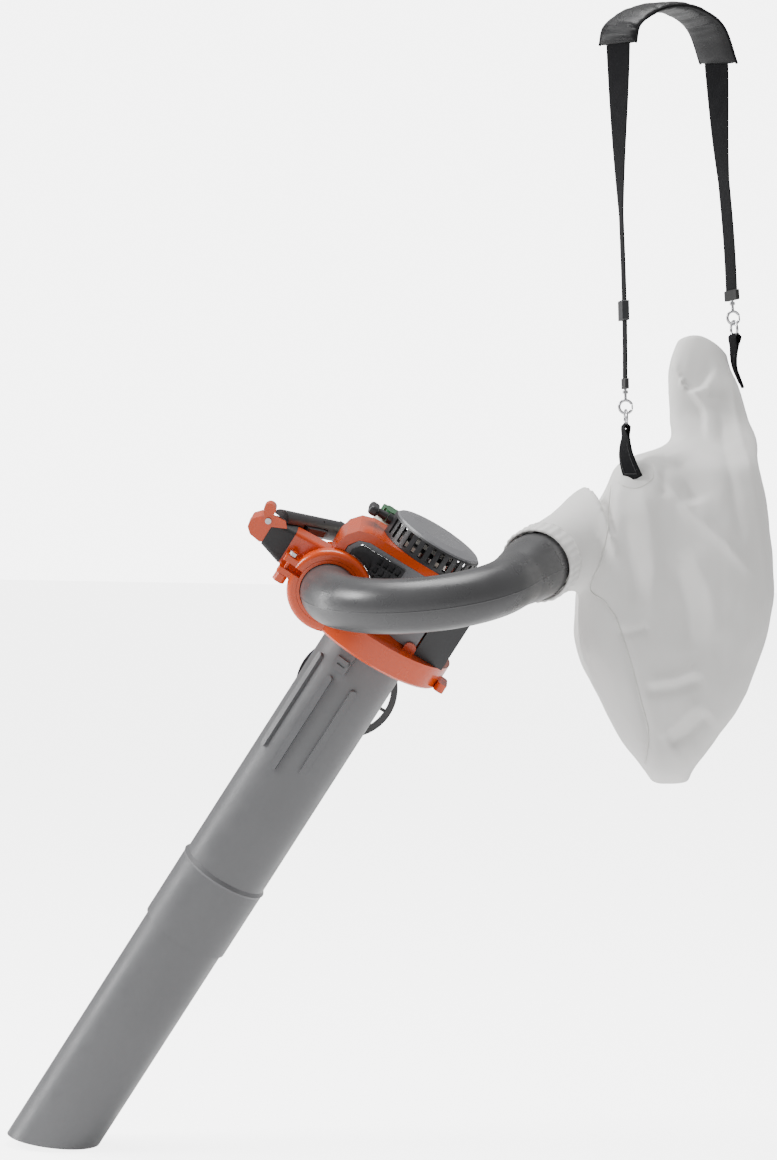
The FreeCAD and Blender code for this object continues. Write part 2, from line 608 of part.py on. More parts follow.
def handle():
    """Front post with orange neck and cap, black soft grip, grey bar with a rear foot."""
    neck = slab("neck_body", [(113, 22), (132, 24), (163, 42), (163, 89.5), (113, 92)], 10, 50)
    neck = rounded(neck, 5, lambda edge: edge.BoundBox.XLength > 20 and edge.BoundBox.YLength < 1)
    keep("handle_neck", cut(neck, duct_envelope("Sheet.duct_radius + 0.4", 70)), HEAD)
    grip = slab("grip_body", [(163.2, 41), (195, 51), (195, 87), (163.2, 90)], 9, 51)
    keep("soft_grip", rounded(grip, 6, lambda edge: abs(edge.tangentAt(edge.FirstParameter).x) > 0.6),
         HEAD)
    cap = slab("cap_body", [(195.2, 52), (214, 55), (222, 62), (222, 74), (214, 83), (195.2, 86)],
               10, 50)
    cap = rounded(cap, 4, along((0, 1, 0)))
    switch_pocket = block(12, 9, 14, (200, 8, 63))
    keep("handle_cap", cut(cap, switch_pocket), HEAD)


def bar_frame():
    """Placement of the grip bar: z along the bar to the rear, x towards the engine."""
    down = BAR_REAR - BAR_FRONT
    down.normalize()
    inward = V(down.y, -down.x, 0)
    return FreeCAD.Placement(BAR_FRONT, FreeCAD.Rotation(inward, down.cross(inward), down, "ZXY"))


def in_bar(item):
    """Move an item drawn in the bar frame into the head frame."""
    item.Placement = bar_frame().multiply(item.Placement)
    return item


def handle_bar():
    """Grey grip bar from the cap to its rear foot, with the trigger slot."""
    reach = (BAR_REAR - BAR_FRONT).Length
    bar = in_bar(rod(14, reach))
    end = solid("Sphere", tuple(BAR_REAR), AXIS_Z, Radius=14)
    foot = rounded(block(34, 24, 26, (79, -104, 75)), 5, along((1, 0, 0)))
    space = slab("grip_space", [(150, 30), (224, 30), (224, 91), (150, 91)], 8.6, 51.4)
    slot = in_bar(block(24, 11, 60, (-2, -5.5, 40)))
    pin_hole = in_bar(rod(1.52, 40, (6, -20, 92), AXIS_Y))
    keep("handle_bar", cut(fuse(bar, end, foot), space, slot, pin_hole), HEAD)


def controls():
    """Throttle trigger on its pin, cruise lever and stop switch."""
    blade = rounded(block(10, 8.8, 46, (9, -4.4, 46)), 3, along((0, 1, 0)))
    hub = rod(4.5, 5.4, (6, -4.4, 92), AXIS_Y)
    spring_room = block(12, 4, 14, (0, 1.1, 85))
    trigger = cut(fuse(blade, hub), rod(1.6, 20, (6, -10, 92), AXIS_Y), spring_room)
    keep("throttle_trigger", in_bar(trigger), HEAD)
    pin = in_bar(rod(1.5, 22, (6, -11, 92), AXIS_Y))
    keep("trigger_spring", in_bar(ring(3.8, 2.2, 3, (6, 1.6, 92), AXIS_Y)), HEAD)

    plate = slab("cruise_body", [(198, 78), (208, 79), (214, 92), (208, 100), (203, 94), (183, 95),
                                 (177, 88)], 51.6, 56)
    knob = rod(8, 19.6, (209, 36.4, 98), AXIS_Y)
    keep("cruise_lever", cut(fuse(plate, knob), rod(2.05, 20, (203, 45, 84), AXIS_Y)), HEAD)
    pivot = fuse(rod(2, 7.5, (203, 50.2, 84), AXIS_Y), rod(4, 2, (203, 56.3, 84), AXIS_Y))
    keep("control_pins", fuse(pin, pivot), HEAD)
    keep("stop_switch", rounded(block(11.2, 8, 13.2, (200.4, 7, 63.4)), 1.5, along((0, 1, 0))), HEAD)


# ---------------------------------------------------------------- inlet cover
def inlet_cover():
    """Round grille that shuts the fan inlet when no tube is fitted, here swung open."""
    centre = (-13, -78, -86)
    frame = ring(69, 60, 5, centre, AXIS_Y)
    bars = [block(4, 3, 124, (centre[0] - 2 + shift, -77.5, -148)) for shift in (-32, 0, 32)]
    bars += [block(124, 3, 4, (centre[0] - 62, -77.5, centre[2] - 2 + shift)) for shift in (-32, 0, 32)]
    disc = rod(62, 10, (centre[0], -80, centre[2]), AXIS_Y)
    common = doc.addObject("Part::Common", "bars")
    common.Base = fuse(*bars)
    common.Tool = disc
    arms = [block(8, 5, 16, (x, -78, -26)) for x in (-26, -8)]
    knuckle = rod(5, 26, (-26, -75.5, -9), AXIS_X)
    hole = rod(2.1, 60, (-50, -75.5, -9), AXIS_X)
    keep("inlet_cover", cut(fuse(frame, common, knuckle, *arms), hole), HEAD)
    keep("inlet_cover_pin", rod(2, 44, (-35, -75.5, -9), AXIS_X), HEAD)


# ---------------------------------------------------------------- bag, straps and hooks
RIGHT = V(0.9494, 0.3140, 0)
AWAY = V(-0.3140, 0.9494, 0)
FRONT_TAB = V(779, 103, 964)
REAR_TAB = V(882, 290, 1084)
FRONT_END = V(764, 110, 1474)
REAR_END = V(852, 299, 1458)
# height, place to the right, place away, half width, half depth of the bag's level sections
BAG_LEVELS = [
    (502, 834, -100, 24, 40), (521, 831, -100, 34, 66), (554, 830, -98, 59, 82),
    (613, 834, -92, 95, 92), (679, 834, -88, 122, 97), (745, 840, -86, 130, 98),
    (798, 842, -86, 128, 96), (851, 847, -84, 116, 91), (891, 853, -82, 103, 84),
    (926, 860, -76, 90, 75), (952, 894, -40, 58, 54), (983, 891, -14, 53, 40),
    (1015, 887, -6, 49, 36), (1056, 882, -2, 42, 26), (1080, 884, 0, 34, 14),
]


def bag_section(level, inset):
    """A rounded closed section of the bag in a level plane."""
    height, across, away, wide, deep = level
    points = []
    for n in range(12):
        angle = 2 * math.pi * n / 12
        c, s = math.cos(angle), math.sin(angle)
        lean = 0.82 + 0.18 * (c * c - s * s) ** 2
        scale = 0.99 / max(0.7, lean)
        reach = RIGHT * (across + (wide - inset) * c * scale) + AWAY * (away + (deep - inset) * s * scale)
        points.append(V(reach.x, reach.y, height))
    curve = Part.BSplineCurve()
    curve.interpolate(Points=points, PeriodicFlag=True)
    return Part.Wire(curve.toShape())


def bag():
    """Collecting bag: a thin closed pouch with a neck that slips over the elbow's bell."""
    arc = size("bend_radius") * math.radians(size("bend_angle"))
    mouth, heading = elbow_point(arc + size("elbow_run") - 32)
    mouth = HEAD.multVec(mouth)
    heading = HEAD.Rotation.multVec(heading)
    shells = []
    for inset in (0, 2.5):
        levels = [list(level) for level in BAG_LEVELS]
        levels[0][0] += inset
        levels[-1][0] -= inset
        pouch = Part.makeLoft([bag_section(level, inset) for level in levels], True, False)
        far = RIGHT * 738 + AWAY * -104 + V(0, 0, 818)
        neck = Part.makeLoft([circle(mouth - heading * inset, heading, 47 - inset),
                              circle(mouth + heading * 34, heading, 47 - inset),
                              circle(far, V(0.85, 0.5, 0.2), 82 - inset)], True, False)
        shells.append(pouch.fuse(neck))
    passage = Part.makeCylinder(45, 130, mouth - heading * 30, heading)
    shell = shells[0].cut(shells[1]).cut(passage)
    keep("bag", shaped(shell), WORLD)
    return shaped(shells[0])


def strap_direction(low, high):
    line = high - low
    line.normalize()
    return line


def upright(low, high, face):
    """Rotation with z along a strap and y along its face normal."""
    line = strap_direction(low, high)
    side = V(*face).cross(line)
    side.normalize()
    return FreeCAD.Rotation(side, line.cross(side), line, "ZXY")


def hardware(name, tab, end, face):
    """Tab, D-ring and snap hook at one end of the shoulder strap."""
    turn = upright(tab, end, face)
    frame = FreeCAD.Placement(tab, turn)
    tab = block(30, 2.4, 64, (-15, -1.2, -56))
    bow = solid("Torus", (0, 0, 21), AXIS_Y, Radius1=11, Radius2=1.8)
    across = FreeCAD.Rotation(V(0, 1, 0), 90)
    loop = solid("Torus", (0, 0, 36.5), across, Radius1=8.6, Radius2=1.9)
    shank = rod(1.9, 20, (0, 0, 45.5))
    gap = block(8, 5, 7, (-4, 6, 32.5))
    keep(name + "_snap_hook", cut(fuse(loop, shank, rod(3.6, 4, (0, 0, 54))), gap), frame)
    keep(name + "_hook_gate", rod(1.1, 6.4, (0, 8.6, 32.8)), frame)
    eye = cut(rounded(block(42, 5, 14, (-21, -2.5, 60)), 2, along((0, 1, 0))),
              block(39, 3.2, 9, (-19.5, -1.6, 66)))
    return [(tab, frame), (bow, frame), (cut(eye, rod(2.05, 12, (0, 0, 56))), frame)]


def keep_group(label, members, outside=None):
    """One node of several separate solids, each placed by its own frame."""
    for item, frame in members:
        item.Placement = frame.multiply(item.Placement)
    group = fuse(*[item for item, frame in members])
    keep(label, cut(group, outside) if outside else group, WORLD)


def webbing(low, high, face_low, face_high, start):
    """Flat webbing from a swivel to the pad, turning as it rises."""
    wide, thick = size("webbing_width"), size("webbing_thick")
    line = strap_direction(low, high)
    length = (high - low).Length
    sections = []
    for share, face in ((0, face_low), (0.5, face_low), (1, face_high)):
        centre = low + line * (start + (length - start) * share)
        side = V(*face).cross(line)
        side.normalize()
        normal = line.cross(side)
        corners = [centre + side * (a * wide / 2) + normal * (b * thick / 2)
                   for a, b in ((-1, -1), (1, -1), (1, 1), (-1, 1))]
        sections.append(Part.makePolygon(corners + corners[:1]))
    straight = Part.makeLoft(sections[:2], True, True)
    turned = Part.makeLoft(sections[1:], True, True)
    return straight.fuse(turned)


PAD_PATH = [V(764, 109, 1476), V(768, 120, 1502), V(788, 155, 1524), V(812, 195, 1531),
            V(832, 237, 1524), V(846, 270, 1506), V(855, 300, 1464)]


def shoulder_strap(bag_outside):
    front_face = (0.93, 0.37, 0)
    rear_face = (0.82, 0.575, 0)
    top_face = (0.36, 0.93, 0)
    fore = hardware("front", FRONT_TAB, FRONT_END, front_face)
    aft = hardware("rear", REAR_TAB, REAR_END, rear_face)
    keep_group("bag_tabs", [fore[0], aft[0]], bag_outside)
    keep_group("bag_d_rings", [fore[1], aft[1]])
    keep_group("strap_swivels", [fore[2], aft[2]])
    front = webbing(FRONT_TAB, FRONT_END, front_face, top_face, 69)
    rear = webbing(REAR_TAB, REAR_END, rear_face, top_face, 69)
    keep("front_strap", shaped(front), WORLD)
    keep("rear_strap", shaped(rear), WORLD)
    frame = FreeCAD.Placement(FRONT_TAB, upright(FRONT_TAB, FRONT_END, front_face))
    buckle = rounded(block(48, 9, 26, (-24, -4.5, 150)), 2, along((0, 1, 0)))
    keep("strap_adjuster", cut(buckle, block(39, 4, 40, (-19.5, -2, 140))), frame)

    half, thick = size("pad_width") / 2, 11
    side = V(0.93, -0.36, 0)
    sections = []
    for n, point in enumerate(PAD_PATH):
        before = PAD_PATH[max(0, n - 1)]
        after = PAD_PATH[min(len(PAD_PATH) - 1, n + 1)]
        normal = side.cross(after - before)
        normal.normalize()
        if normal.z < 0:
            normal = normal * -1
        corners = [point + side * (a * half) + normal * (b * thick / 2)
                   for a, b in ((-1, -1), (1, -1), (1, 1), (-1, 1))]
        sections.append(Part.makePolygon(corners + corners[:1]))
    pad = Part.makeLoft(sections, True, True)
    ends = front.fuse(rear)
    keep("shoulder_pad", shaped(pad.cut(ends)), WORLD)


def screws():
    """Fasteners: the clamp screw's hexagon nut and a ring of pan-head housing screws."""
    x, y, z = size("duct_x") + 63, size("duct_front") + 4, size("duct_z")
    nut = doc.addObject("Part::Prism", "prism")
    nut.Polygon = 6
    nut.Circumradius = 6
    nut.Height = 5
    nut.Placement = FreeCAD.Placement(V(x, y, z + 14), AXIS_Z)
    items = [cut(nut, rod(3.06, 30, (x, y, z)))]
    for n in range(5):
        angle = math.radians(230 + 28 * n)
        items.append(rod(3.4, 2.2, (97 * math.cos(angle), 97 * math.sin(angle), 34.4)))
    keep("fasteners", fuse(*items), HEAD)


lower_tube()
upper_tube()
tube_latch()
fan_housings()
inlet_cover()
outlet_collar()
clamp_knob()
elbow()
impeller()
crankshaft()
flywheel()
bearings()
crankcase()
cylinder()
piston()
ignition()
exhaust()
fuel_side()
covers()
starter()
handle()
handle_bar()
controls()
shoulder_strap(bag())
screws()

# ---------------------------------------------------------------- checks and export
doc.recompute()
failed = [item.Label for item in doc.Objects if "Invalid" in item.State or "Error" in item.State]
for item in PIECES:
    if item.Shape.isNull() or not item.Shape.isValid() or not item.Shape.Solids:
        failed.append(item.Label + " (no valid solid)")
if failed:
    raise RuntimeError("failed: " + ", ".join(failed))
for item in PIECES:
    item.Shape.exportStep("parts/%s.step" % item.Label)
print(len(PIECES), "parts")
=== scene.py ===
import json
import math

import bmesh
import bpy
import numpy as np
from mathutils import Matrix, Vector, noise
from mathutils.bvhtree import BVHTree


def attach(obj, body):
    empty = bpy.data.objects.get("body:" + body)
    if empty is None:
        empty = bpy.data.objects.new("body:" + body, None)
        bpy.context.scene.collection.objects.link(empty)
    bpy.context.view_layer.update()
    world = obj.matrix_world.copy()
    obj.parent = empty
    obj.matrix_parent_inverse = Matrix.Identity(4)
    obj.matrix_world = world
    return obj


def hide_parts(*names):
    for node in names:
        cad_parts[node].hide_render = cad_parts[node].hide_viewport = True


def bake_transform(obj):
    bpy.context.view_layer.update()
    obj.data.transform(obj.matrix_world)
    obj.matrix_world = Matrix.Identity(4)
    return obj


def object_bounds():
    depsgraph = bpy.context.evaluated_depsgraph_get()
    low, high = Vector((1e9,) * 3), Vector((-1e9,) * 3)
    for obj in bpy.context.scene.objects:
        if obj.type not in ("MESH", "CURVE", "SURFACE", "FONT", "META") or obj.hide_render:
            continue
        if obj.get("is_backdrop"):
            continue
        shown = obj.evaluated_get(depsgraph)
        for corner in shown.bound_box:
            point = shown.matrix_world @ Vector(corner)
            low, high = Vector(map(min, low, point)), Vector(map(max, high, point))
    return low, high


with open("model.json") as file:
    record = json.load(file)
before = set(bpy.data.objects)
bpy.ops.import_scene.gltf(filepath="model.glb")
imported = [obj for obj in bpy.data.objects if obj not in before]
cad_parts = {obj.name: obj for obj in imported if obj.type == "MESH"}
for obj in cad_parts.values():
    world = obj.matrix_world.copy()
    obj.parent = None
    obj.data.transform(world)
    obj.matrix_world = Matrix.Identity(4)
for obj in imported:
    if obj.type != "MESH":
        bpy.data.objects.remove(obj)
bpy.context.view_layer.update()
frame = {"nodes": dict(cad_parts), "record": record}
MM = 0.001
RIGHT = Vector((0.9494, 0.3140, 0.0))
AWAY = Vector((-0.3140, 0.9494, 0.0))
WEBBING_WIDTH, WEBBING_THICK, TAB_THICK, THREAD_RADIUS = 0.038, 0.0024, 0.0017, 0.00045


# ---------------------------------------------------------------- camera, floor and light
def look_from(place, target):
    turn = (Vector(target) - Vector(place)).to_track_quat("-Z", "Y")
    return Matrix.Translation(place) @ turn.to_matrix().to_4x4()


camera_data = bpy.data.cameras.new("camera")
camera_data.lens = 113.3
camera_data.sensor_width = 36
camera_data.clip_end = 60
camera = bpy.data.objects.new("camera", camera_data)
camera.location = (1.9916, -4.5602, 1.0160)
camera.rotation_euler = (math.radians(87.1), 0, math.radians(18.3))
bpy.context.scene.collection.objects.link(camera)
bpy.context.scene.camera = camera


def softbox(name, place, target, wide, high, watts):
    data = bpy.data.lights.new(name, "AREA")
    data.shape = "RECTANGLE"
    data.size = wide
    data.size_y = high
    data.energy = watts
    lamp = bpy.data.objects.new(name, data)
    bpy.context.scene.collection.objects.link(lamp)
    lamp.matrix_world = look_from(place, target)


softbox("key", (-2.2, -1.5, 2.9), (0.6, 0, 0.8), 1.2, 1.2, 140)
softbox("left", (-2.4, -0.1, 0.9), (0.4, 0, 0.6), 0.5, 2.2, 40)
softbox("top", (0.5, 0.3, 3.6), (0.6, 0, 0.7), 1.8, 1.8, 105)

world = bpy.data.worlds.new("studio")
bpy.context.scene.world = world
world.use_nodes = True
SEEN_LEVEL, LIT_LEVEL = 6.0, 0.42
FLOOR_SEEN, FLOOR_LIT = 4.6, 0.55


def seen_level(nodes, links, lit, seen, target):
    """One strength for light that reaches the object and another for what the camera sees."""
    path = nodes.new("ShaderNodeLightPath")
    level = nodes.new("ShaderNodeMapRange")
    level.inputs["To Min"].default_value = lit
    level.inputs["To Max"].default_value = seen
    links.new(path.outputs["Is Camera Ray"], level.inputs["Value"])
    links.new(level.outputs["Result"], target)


def studio_world():
    """A white room that looks brighter than the light it gives."""
    nodes, links = world.node_tree.nodes, world.node_tree.links
    seen_level(nodes, links, LIT_LEVEL, SEEN_LEVEL, nodes["Background"].inputs["Strength"])
    nodes["Background"].inputs["Color"].default_value = (1, 1, 1, 1)


studio_world()


# ---------------------------------------------------------------- head frame
LEAN = Matrix.Rotation(math.radians(33.62), 3, "Y")
HEAD_TURN = Matrix.Rotation(math.radians(199.0), 3, "Z")
HEAD = LEAN @ HEAD_TURN
HEAD_ORIGIN = LEAN @ Vector((0, 0, 0.825))


def mm(x, y, z):
    return Vector((x * MM, y * MM, z * MM))


def placed(across, away, up):
    """A point from its distance to the right, its distance away and its height."""
    return RIGHT * across * MM + AWAY * away * MM + mm(0, 0, up)


def head_point(x, y, z):
    return HEAD_ORIGIN + HEAD @ mm(x, y, z)


# ---------------------------------------------------------------- materials
class Shader:
    """A Principled material with a few procedural inputs."""

    def __init__(self, name, rough, metal=0.0, coat=0.0, sheen=0.0):
        self.material = bpy.data.materials.new(name)
        self.material.use_nodes = True
        self.nodes = self.material.node_tree.nodes
        self.links = self.material.node_tree.links
        self.surface = self.nodes["Principled BSDF"]
        self.surface.inputs["Roughness"].default_value = rough
        self.surface.inputs["Metallic"].default_value = metal
        self.surface.inputs["Coat Weight"].default_value = coat
        self.surface.inputs["Coat Roughness"].default_value = 0.12
        self.surface.inputs["Sheen Weight"].default_value = sheen
        self.place = self.nodes.new("ShaderNodeTexCoord").outputs["Object"]
        self.normal = None

    def noise(self, scale, detail=3.0, stretch=None):
        node = self.nodes.new("ShaderNodeTexNoise")
        node.inputs["Scale"].default_value = scale
        node.inputs["Detail"].default_value = detail
        place = self.place
        if stretch:
            shift = self.nodes.new("ShaderNodeMapping")
            shift.inputs["Scale"].default_value = stretch
            self.links.new(place, shift.inputs["Vector"])
            place = shift.outputs["Vector"]
        self.links.new(place, node.inputs["Vector"])
        return node.outputs["Fac"]

    def wave(self, scale, axis, turn):
        node = self.nodes.new("ShaderNodeTexWave")
        node.bands_direction = axis
        node.inputs["Scale"].default_value = scale
        node.inputs["Distortion"].default_value = 0.6
        node.inputs["Detail"].default_value = 1.0
        shift = self.nodes.new("ShaderNodeMapping")
        shift.inputs["Rotation"].default_value = [math.radians(a) for a in turn]
        self.links.new(self.place, shift.inputs["Vector"])
        self.links.new(shift.outputs["Vector"], node.inputs["Vector"])
        return node.outputs["Fac"]

    def math(self, kind, a, b):
        node = self.nodes.new("ShaderNodeMath")
        node.operation = kind
        for socket, value in zip(node.inputs, (a, b)):
            if isinstance(value, (int, float)):
                socket.default_value = value
            else:
                self.links.new(value, socket)
        return node.outputs[0]

    def bump(self, height, strength, depth):
        node = self.nodes.new("ShaderNodeBump")
        node.inputs["Strength"].default_value = strength
        node.inputs["Distance"].default_value = depth
        self.links.new(height, node.inputs["Height"])
        if self.normal:
            self.links.new(self.normal, node.inputs["Normal"])
        self.normal = node.outputs["Normal"]
        self.links.new(self.normal, self.surface.inputs["Normal"])

    def ramp(self, fac, stops, target):
        node = self.nodes.new("ShaderNodeValToRGB")
        for extra in stops[2:]:
            node.color_ramp.elements.new(extra[0])
        for element, (at, colour) in zip(node.color_ramp.elements, sorted(stops)):
            element.position = at
            element.color = (*colour, 1)
        self.links.new(fac, node.inputs["Fac"])
        self.links.new(node.outputs["Color"], self.surface.inputs[target])

    def spread(self, fac, low, high, target="Roughness"):
        node = self.nodes.new("ShaderNodeMapRange")
        node.inputs["From Min"].default_value = 0.3
        node.inputs["From Max"].default_value = 0.7
        node.inputs["To Min"].default_value = low
        node.inputs["To Max"].default_value = high
        self.links.new(fac, node.inputs["Value"])
        self.links.new(node.outputs["Result"], self.surface.inputs[target])


def scaled(colour, factor):
    return tuple(min(1.0, c * factor) for c in colour)


def moulded(name, colour, rough, grain=0.12, vary=0.10, coat=0.0):
    """Injection-moulded plastic: fine spark grain, faint flow marks, and a tone lighter on sharp edges
    and darker in hollows.
    """
    s = Shader(name, rough, coat=coat)
    flow = s.noise(7, 4)
    # Pointiness makes the colour lighter on sharp edges and darker in hollows
    edge_and_hollow_tone = s.nodes.new("ShaderNodeNewGeometry").outputs["Pointiness"]
    mixed = s.math("ADD", s.math("MULTIPLY", flow, 0.75), s.math("MULTIPLY", edge_and_hollow_tone, 0.25))
    s.ramp(mixed, [(0.32, scaled(colour, 1 - vary)), (0.68, scaled(colour, 1 + vary))], "Base Color")
    s.spread(s.noise(28, 4), rough - 0.06, rough + 0.08)
    s.bump(s.noise(1500, 2), grain, 0.0003)
    return s.material


def metal(name, colour, rough, grain=0.1, stretch=None):
    """Bare metal with uneven gloss, drawn out along stretch where it is brushed."""
    s = Shader(name, rough, metal=1.0)
    s.ramp(s.noise(40, 4), [(0.3, scaled(colour, 0.86)), (0.7, colour)], "Base Color")
    s.spread(s.noise(160, 3, stretch), rough - 0.05, rough + 0.1)
    s.bump(s.noise(700, 3, stretch), grain, 0.0003)
    return s.material


def cloth(name, colour, rough, pitch, turn, strength, sheen, vary=0.06, slub=0.3, gloss=0.3):
    """Woven cloth: two crossed thread directions, uneven yarn and soft soiling."""
    s = Shader(name, rough, sheen=sheen)
    s.surface.inputs["Specular IOR Level"].default_value = gloss
    warp = s.wave(pitch, "X", turn)
    weft = s.wave(pitch, "Z", turn)
    weave = s.math("MULTIPLY", warp, weft)
    yarn = s.math("ADD", weave, s.math("MULTIPLY", s.noise(pitch * 1.4, 3), slub))
    s.ramp(s.noise(5, 6), [(0.3, scaled(colour, 1 - vary)), (0.7, colour)], "Base Color")
    s.spread(s.noise(60, 3), rough - 0.06, rough + 0.06)
    s.bump(yarn, strength, 0.0004)
    return s.material


MATERIALS = {
    "tube_plastic": moulded("tube_plastic", (0.105, 0.106, 0.110), 0.38, 0.22, 0.07),
    # elbow_plastic is a darker copy of tube_plastic: its lower tone is painted shade for the elbow's
    # dark band facing the camera
    "elbow_plastic": moulded("elbow_plastic", (0.060, 0.060, 0.062), 0.30, 0.22, 0.07),
    "orange_plastic": moulded("orange_plastic", (0.56, 0.052, 0.0), 0.25, 0.05, 0.05, 0.25),
    "grey_plastic": moulded("grey_plastic", (0.17, 0.17, 0.18), 0.28, 0.15),
    "dark_plastic": moulded("dark_plastic", (0.022, 0.022, 0.024), 0.36, 0.25, 0.15),
    "soft_rubber": moulded("soft_rubber", (0.014, 0.014, 0.015), 0.62, 0.45, 0.2),
    "fan_plastic": moulded("fan_plastic", (0.03, 0.03, 0.031), 0.5, 0.3, 0.15),
    "coil_black": moulded("coil_black", (0.02, 0.02, 0.02), 0.4, 0.2, 0.1),
    "tank_plastic": moulded("tank_plastic", (0.62, 0.60, 0.53), 0.4, 0.1, 0.05),
    "green_plastic": moulded("green_plastic", (0.010, 0.105, 0.030), 0.3, 0.1, 0.1, 0.2),
    "swivel_plastic": moulded("swivel_plastic", (0.014, 0.014, 0.014), 0.4, 0.2, 0.1),
    "cast_aluminium": metal("cast_aluminium", (0.52, 0.52, 0.53), 0.45, 0.35),
    "steel": metal("steel", (0.5, 0.5, 0.52), 0.3, 0.1, (1, 1, 14)),
    "chrome_hardware": metal("chrome_hardware", (0.72, 0.72, 0.74), 0.14, 0.04),
    "filter_foam": cloth("filter_foam", (0.02, 0.02, 0.02), 0.9, 500, (0, 0, 0), 0.9, 0.1),
    "rope": cloth("rope", (0.55, 0.54, 0.5), 0.8, 420, (0, 45, 0), 0.8, 0.3),
    "bag_cloth": cloth("bag_cloth", (0.76, 0.75, 0.73), 0.86, 300, (0, 0, 18), 0.3, 0.15, 0.04),
    "black_webbing": cloth("black_webbing", (0.006, 0.006, 0.007), 0.8, 190, (0, 8, 18), 0.9, 0.02,
                           gloss=0.1),
    "pad_cloth": cloth("pad_cloth", (0.007, 0.007, 0.008), 0.3, 520, (0, 0, 20), 0.25, 0.02,
                       gloss=0.25),
    "stitching": cloth("stitching", (0.03, 0.03, 0.032), 0.7, 900, (0, 0, 0), 0.6, 0.2),
    "bag_stitching": cloth("bag_stitching", (0.78, 0.77, 0.74), 0.8, 900, (0, 0, 0), 0.6, 0.2),
}
for entry in frame["record"]["subparts"]:
    node = frame["nodes"][entry["node"]]
    node.data.materials.clear()
    node.data.materials.append(MATERIALS[entry["material_slot"]])


def two_tone(name, split):
    """Darker moulding below a height of the head, on a carried-over part."""
    mesh = frame["nodes"][name].data
    mesh.materials.append(MATERIALS["dark_plastic"])
    rise = HEAD @ Vector((0, 0, 1))
    for face in mesh.polygons:
        if (face.center - HEAD_ORIGIN).dot(rise) < split * MM:
            face.material_index = 1


STARTER_RIM_TOP = 171.5
two_tone("starter_housing", STARTER_RIM_TOP)


# ---------------------------------------------------------------- mesh helpers
def piece(name, points, faces, material, body="root", smooth=True):
    mesh = bpy.data.meshes.new(name)
    mesh.from_pydata([tuple(p) for p in points], [], faces)
    mesh.update()
    mesh.materials.append(MATERIALS[material])
    if smooth:
        mesh.shade_smooth()
    item = bpy.data.objects.new(name, mesh)
    bpy.context.scene.collection.objects.link(item)
    if body:
        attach(item, body)
    return item


def subdivided(item):
    round_off = item.modifiers.new("subdivide", "SUBSURF")
    round_off.levels = 1
    round_off.render_levels = 1


def tidy_normals(item):
    bm = bmesh.new()
    bm.from_mesh(item.data)
    bmesh.ops.remove_doubles(bm, verts=bm.verts, dist=1e-6)
    bmesh.ops.recalc_face_normals(bm, faces=bm.faces)
    bm.to_mesh(item.data)
    bm.free()
    return item


def skin(rings, closed=False, capped=True):
    """Faces between equal rings of points."""
    count = len(rings[0])
    points = [p for ring in rings for p in ring]
    faces = []
    for k in range(len(rings) - (0 if closed else 1)):
        low, high = k * count, ((k + 1) % len(rings)) * count
        for n in range(count):
            m = (n + 1) % count
            faces.append((low + n, low + m, high + m, high + n))
    if capped and not closed:
        faces.append(tuple(reversed(range(count))))
        last = (len(rings) - 1) * count
        faces.append(tuple(range(last, last + count)))
    return points, faces


def curve_through(points, steps):
    """Catmull-Rom points through rows of numbers."""
    rows = np.array(points, float)
    padded = np.vstack([2 * rows[0] - rows[1], rows, 2 * rows[-1] - rows[-2]])
    result = []
    for k in range(1, len(padded) - 2):
        a, b, c, d = padded[k - 1], padded[k], padded[k + 1], padded[k + 2]
        for t in np.linspace(0, 1, steps, endpoint=False):
            result.append(0.5 * (2 * b + (c - a) * t + (2 * a - 5 * b + 4 * c - d) * t ** 2
                                 + (3 * b - a - 3 * c + d) * t ** 3))
    result.append(rows[-1])
    return result


def level_axes(way):
    """A level direction across a heading, and the one square to both."""
    side = way.cross(Vector((0, 0, 1))).normalized()
    return side, side.cross(way)


def tube(name, path, radius, material, body="root", sides=10):
    """A round cord along points, with its section carried along without twist."""
    path = [Vector(p) for p in path]
    side = (path[1] - path[0]).orthogonal().normalized()
    rings = []
    for k, p in enumerate(path):
        line = (path[min(k + 1, len(path) - 1)] - path[max(k - 1, 0)]).normalized()
        side = (side - line * side.dot(line)).normalized()
        up = line.cross(side)
        rings.append([p + (side * math.cos(a) + up * math.sin(a)) * radius
                      for a in np.linspace(0, 2 * math.pi, sides, endpoint=False)])
    points, faces = skin(rings)
    return tidy_normals(piece(name, points, faces, material, body))


# ---------------------------------------------------------------- elbow
BEND_RADIUS, BEND_ANGLE, BEND_TILT = 122.0, math.radians(158.6), math.radians(37.2)
ELBOW_ARC = BEND_RADIUS * BEND_ANGLE
ELBOW_START = Vector((89, 70, 50))
ELBOW_OUT = Vector((0, 1, 0))
ELBOW_INWARD = Vector((-math.cos(BEND_TILT), 0, math.sin(BEND_TILT)))


def elbow_station(distance):
    """Centre and direction on the elbow's line, in the head frame in millimetres."""
    turn = min(max(distance, 0) / BEND_RADIUS, BEND_ANGLE)
    centre = (ELBOW_START + ELBOW_OUT * BEND_RADIUS * math.sin(turn)
              + ELBOW_INWARD * BEND_RADIUS * (1 - math.cos(turn)))
    heading = ELBOW_OUT * math.cos(turn) + ELBOW_INWARD * math.sin(turn)
    beyond = min(distance, 0) + max(0, distance - ELBOW_ARC)
    return centre + heading * beyond, heading


